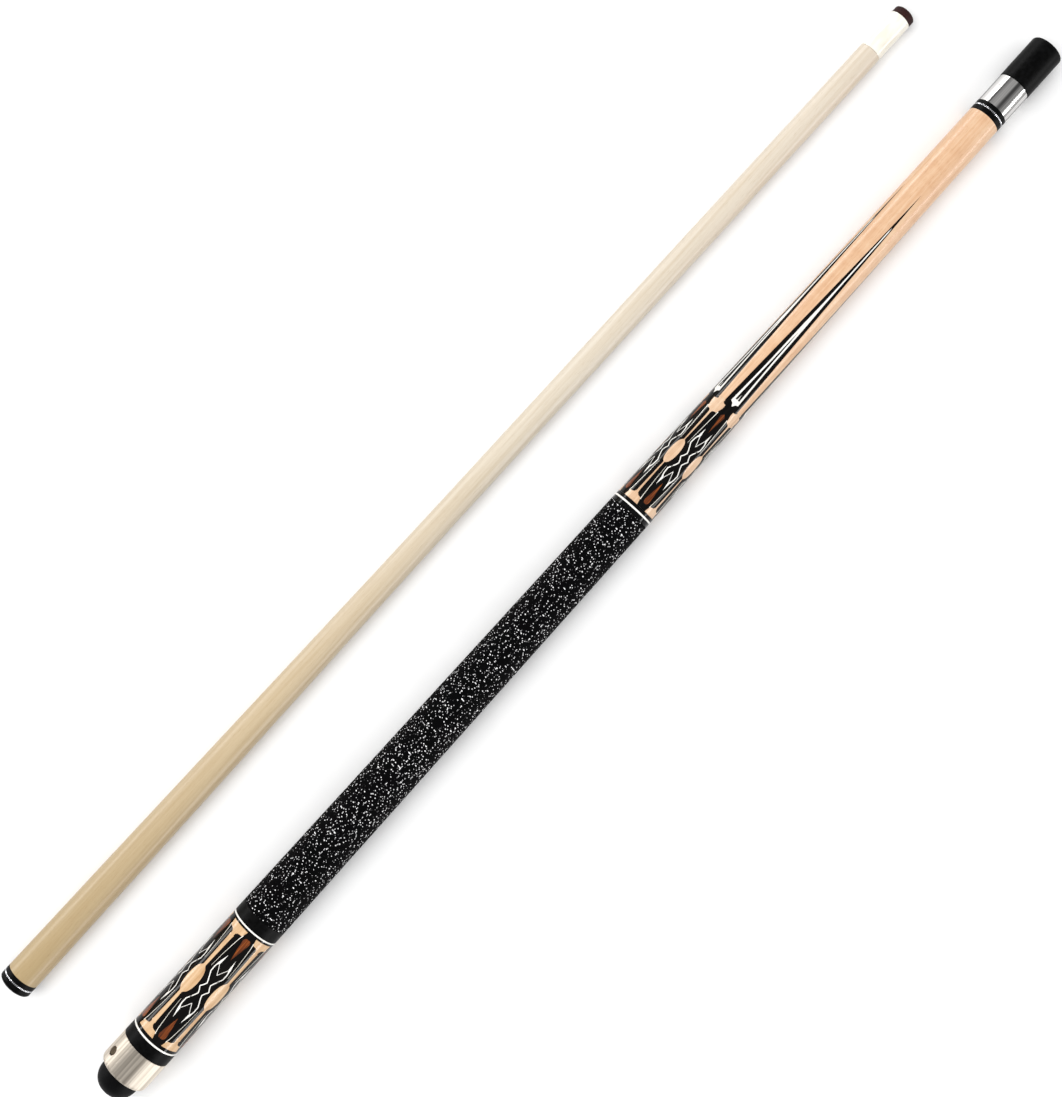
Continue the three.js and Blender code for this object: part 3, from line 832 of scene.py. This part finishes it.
def spanner_hole_cutter():
    """A short rod, square to the cap's surface, that cuts the blind hole for a pin spanner."""
    bm = bmesh.new()
    proud = 1
    length = SPANNER_HOLE["depth"] + proud
    radius = SPANNER_HOLE["r"] * MM
    bmesh.ops.create_cone(
        bm, cap_ends=True, segments=40, radius1=radius, radius2=radius, depth=length * MM,
    )
    mesh = bpy.data.meshes.new("spanner_hole_cutter")
    bm.to_mesh(mesh)
    bm.free()
    cutter = bpy.data.objects.new("spanner_hole_cutter", mesh)
    bpy.context.scene.collection.objects.link(cutter)
    x, azimuth = SPANNER_HOLE["x"], SPANNER_HOLE["azimuth"]
    middle = handle_radius(x) + proud - length / 2
    turn = Matrix.Rotation(math.radians(azimuth), 4, "X")
    cutter.matrix_world = BUTT @ Matrix.Translation(place(x, middle, azimuth)) @ turn
    return cutter


def cap():
    """Nickel cap with a rounded rear shoulder and a blind spanner hole."""
    front = span("butt_cap", BUTT)[1]
    bore_r, web, bevel = CAP["bore_r"], CAP["web"], 0.1
    shoulder = dome(CAP_REAR + CAP["shoulder"], handle_radius(CAP_REAR), CAP_REAR, CAP["rear_r"])
    corners = [
        (CAP_REAR, bore_r), *reversed(shoulder), (front - bevel, handle_radius(front)),
        (front, handle_radius(front) - bevel), (front, HANDLE_BORE_R), (web, HANDLE_BORE_R), (web, bore_r),
    ]
    piece = turned("nickel_cap", BUTT, "butt", corners, NICKEL, ["butt_cap"])
    cutter = spanner_hole_cutter()
    bpy.context.view_layer.update()
    hole = piece.modifiers.new("hole", "BOOLEAN")
    hole.operation = "DIFFERENCE"
    hole.solver = "EXACT"
    hole.object = cutter
    shape = piece.evaluated_get(bpy.context.evaluated_depsgraph_get())
    piece.data = bpy.data.meshes.new_from_object(shape)
    piece.modifiers.clear()
    piece.data.materials.clear()
    piece.data.materials.append(NICKEL)
    bpy.data.objects.remove(cutter)
    bm = bmesh.new()
    bm.from_mesh(piece.data)
    finish_mesh(bm)
    bm.to_mesh(piece.data)
    bm.free()


def bumper():
    """Domed rubber bumper on a push-in stem."""
    rear, front = span("bumper", BUTT)
    wall_r, stem_r, face = BUMPER["r"], BUMPER["stem_r"], CAP_REAR - BUMPER["gap"]
    rim, chamfer = 0.3, 0.5
    corners = [
        (rear, 0), *reversed(dome(CAP_REAR - BUMPER["wall"], wall_r, rear, BUMPER["flat_r"], 16)),
        (face - rim, wall_r), (face, wall_r - rim), (face, stem_r),
        (front - chamfer, stem_r), (front, stem_r - chamfer), (front, 0),
    ]
    turned("rubber_bumper", BUTT, "bumper_body", corners, RUBBER, ["bumper"])


def protector():
    """Screw-on joint protector: a black shell on a brass insert."""
    rear, front = span("protector_shell", BUTT)
    outer_r, bore_r, bore_front = PROTECTOR["r"], PROTECTOR["bore_r"], PROTECTOR["bore_front"]
    rounding, rim = PROTECTOR["rounding"], 0.15
    corners = [
        (bore_front, 0), (bore_front, bore_r), (rear, bore_r), (rear, outer_r - rim), (rear + rim, outer_r),
        *dome(front - rounding, outer_r, front, outer_r - rounding), (front, 0),
    ]
    turned("protector_cap", BUTT, "joint_protector", corners, BLACK_RESIN, ["protector_shell"])
    rear, front = span("protector_insert", BUTT)
    insert_r = PROTECTOR["insert_r"]
    corners = ring_corners(rear, front, STUD_BORE_R, insert_r, insert_r, INSERT_BEVEL)
    turned("protector_brass", BUTT, "protector_thread", corners, BRASS, ["protector_insert"])


# ---- Shaft ----

def shaft_ring(name, node, material):
    """A ring of the shaft's collar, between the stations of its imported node."""
    rear, front = span(node, SHAFT)
    rear_r = SHAFT_COLLAR["r"] - SHAFT_COLLAR["taper"] * rear
    front_r = SHAFT_COLLAR["r"] - SHAFT_COLLAR["taper"] * front
    corners = ring_corners(rear, front, SHAFT_COLLAR["bore_r"], rear_r, front_r)
    turned(name, SHAFT, "shaft", corners, material, [node])


def shaft_pieces():
    """Tapered maple shaft, its three rings and its brass insert."""
    wood_rear, front = SHAFT_PROFILE[0][0], SHAFT_PROFILE[-1][0]
    bore_r, bore_front, face = INSERT["bore_r"], INSERT["bore_front"], 0.2
    tenon_r, tenon_front = FERRULE_TENON["r"], FERRULE_TENON["front"]
    corners = [
        (bore_front, 0), (bore_front, bore_r), (face, bore_r),
        (face, SHAFT_SPIGOT_R), (wood_rear, SHAFT_SPIGOT_R), *SHAFT_PROFILE,
        (front, tenon_r), (tenon_front, tenon_r), (tenon_front, 0),
    ]
    turned("shaft_body", SHAFT, "shaft", corners, SHAFT_WOOD, ["shaft_wood"])
    shaft_ring("shaft_ring_rear", "shaft_collar_rear", BLACK_RESIN)
    shaft_ring("shaft_ring_silver", "shaft_collar_silver", SILVER)
    shaft_ring("shaft_ring_front", "shaft_collar_front", BLACK_RESIN)
    rear, front = span("shaft_insert", SHAFT)
    corners = ring_corners(rear, front, STUD_BORE_R, INSERT["r"], INSERT["r"], INSERT_BEVEL)
    turned("shaft_brass", SHAFT, "shaft", corners, BRASS, ["shaft_insert"])


def ferrule_and_tip():
    """Ivory-coloured ferrule on the shaft's tenon, and the leather tip on it."""
    rear, front = span("ferrule", SHAFT)
    rear_r, front_r = FERRULE["rear_r"], FERRULE["front_r"]
    bore_r, bore_front = FERRULE["bore_r"], FERRULE["bore_front"]
    rear_edge, front_edge = 0.05, 0.1
    corners = [
        (bore_front, 0), (bore_front, bore_r), (rear, bore_r), (rear, rear_r - rear_edge),
        (rear + rear_edge, rear_r), (front - front_edge, front_r), (front, front_r - front_edge), (front, 0),
    ]
    turned("ivory_ferrule", SHAFT, "shaft", corners, IVORY_RESIN, ["ferrule"])
    rear, apex = span("tip", SHAFT)
    tip_r = TIP["r"]
    corners = [(rear, 0), (rear, tip_r - 0.1), (rear + 0.1, tip_r), *dome(TIP["wall"], tip_r, apex, 0, 14)]
    turned("leather_tip", SHAFT, "shaft", corners, LEATHER, ["tip"])


def plug():
    """Joint plug: a low black dome on a threaded brass stud."""
    rear, rim = span("plug_head", SHAFT)
    socket = -1.7
    skin = dome(rim, SHAFT_COLLAR["r"], rear, 0, 16)
    corners = [(socket, 0), (socket, STUD_BORE_R), (rim, STUD_BORE_R), *skin]
    turned("plug_dome", SHAFT, "joint_plug", corners, BLACK_RESIN, ["plug_head"])
    rear, front = span("plug_stud", SHAFT)
    stud = threaded_corners(rear, front, rear + 1)
    turned("plug_thread_stud", SHAFT, "plug_thread", stud, BRASS, ["plug_stud"],
           threaded, THREAD_SIDES)


def packed_nodes_kept():
    """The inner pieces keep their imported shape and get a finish."""
    for node, material in (
        ("handle_core", CORE_WOOD),
        ("connecting_screw", PLAIN_STEEL),
        ("weight_bolt", PLAIN_STEEL),
    ):
        slots = frame["nodes"][node].data.materials
        slots.clear()
        slots.append(material)


# ---- Floor, light and camera ----

def floor():
    bm = bmesh.new()
    bmesh.ops.create_grid(bm, x_segments=8, y_segments=8, size=FLOOR_HALF_SIZE)
    mesh = bpy.data.meshes.new("floor")
    bm.to_mesh(mesh)
    bm.free()
    mesh.materials.append(floor_paint())
    piece = bpy.data.objects.new("floor", mesh)
    piece.location.z = -FLOOR_DROP
    bpy.context.scene.collection.objects.link(piece)


def strip_light(name, side):
    """A long light low down beside the cue. Gloss shows it as a line, and it lights nothing matt."""
    data = bpy.data.lights.new(name, "AREA")
    data.shape = "RECTANGLE"
    data.size = STRIP["length"]
    data.size_y = STRIP["width"]
    data.energy = STRIP["power"]
    light = bpy.data.objects.new(name, data)
    light.location = (0, side * STRIP["aside"], STRIP["height"])
    light.visible_diffuse = False
    light.rotation_mode = "QUATERNION"
    light.rotation_quaternion = (-light.location).to_track_quat("-Z", "Y")
    bpy.context.scene.collection.objects.link(light)


def overhead_light():
    """A large soft light above, which gives the pieces their roundness. Gloss doesn't mirror it."""
    data = bpy.data.lights.new("overhead", "AREA")
    data.size = OVERHEAD["size"]
    data.energy = OVERHEAD["power"]
    light = bpy.data.objects.new("overhead", data)
    light.location = OVERHEAD["place"]
    light.rotation_mode = "QUATERNION"
    light.rotation_quaternion = (-light.location).to_track_quat("-Z", "Y")
    light.visible_glossy = False
    bpy.context.scene.collection.objects.link(light)


def world_light():
    """An even white surround, dimmer where the glossy pieces mirror it."""
    world = bpy.data.worlds.new("soft studio")
    world.use_nodes = True
    tree = world.node_tree
    path = tree.nodes.new("ShaderNodeLightPath")
    level = tree.nodes.new("ShaderNodeMapRange")
    level.inputs["To Min"].default_value = SURROUND["lit"]
    level.inputs["To Max"].default_value = SURROUND["mirrored"]
    tree.links.new(path.outputs["Is Glossy Ray"], level.inputs["Value"])
    tree.links.new(level.outputs["Result"], tree.nodes["Background"].inputs["Strength"])
    tree.nodes["Background"].inputs["Color"].default_value = (1, 1, 1, 1)
    bpy.context.scene.world = world


def camera():
    """Straight above the cue, which runs from the lower left to the upper right."""
    joint = BUTT.translation
    aside_x, aside_y = CAMERA["from_joint"]
    data = bpy.data.cameras.new("camera")
    data.sensor_width = 36
    data.lens = CAMERA["lens"]
    made = bpy.data.objects.new("camera", data)
    made.location = (joint.x + aside_x, joint.y + aside_y, CAMERA["height"])
    made.rotation_euler = (0, 0, math.radians(CAMERA["turn"]))
    bpy.context.scene.collection.objects.link(made)
    bpy.context.scene.camera = made


joint_pieces()
forearm_wood()
forearm_field()
forearm_points()
forearm_spindles()
forearm_motifs()
handle_rings()
linen_wrap()
sleeve()
cap()
bumper()
protector()
shaft_pieces()
ferrule_and_tip()
plug()
packed_nodes_kept()
floor()
strip_light("strip_far", 1)
strip_light("strip_near", -1)
overhead_light()
world_light()
camera()
bpy.context.scene.view_settings.view_transform = "Standard"
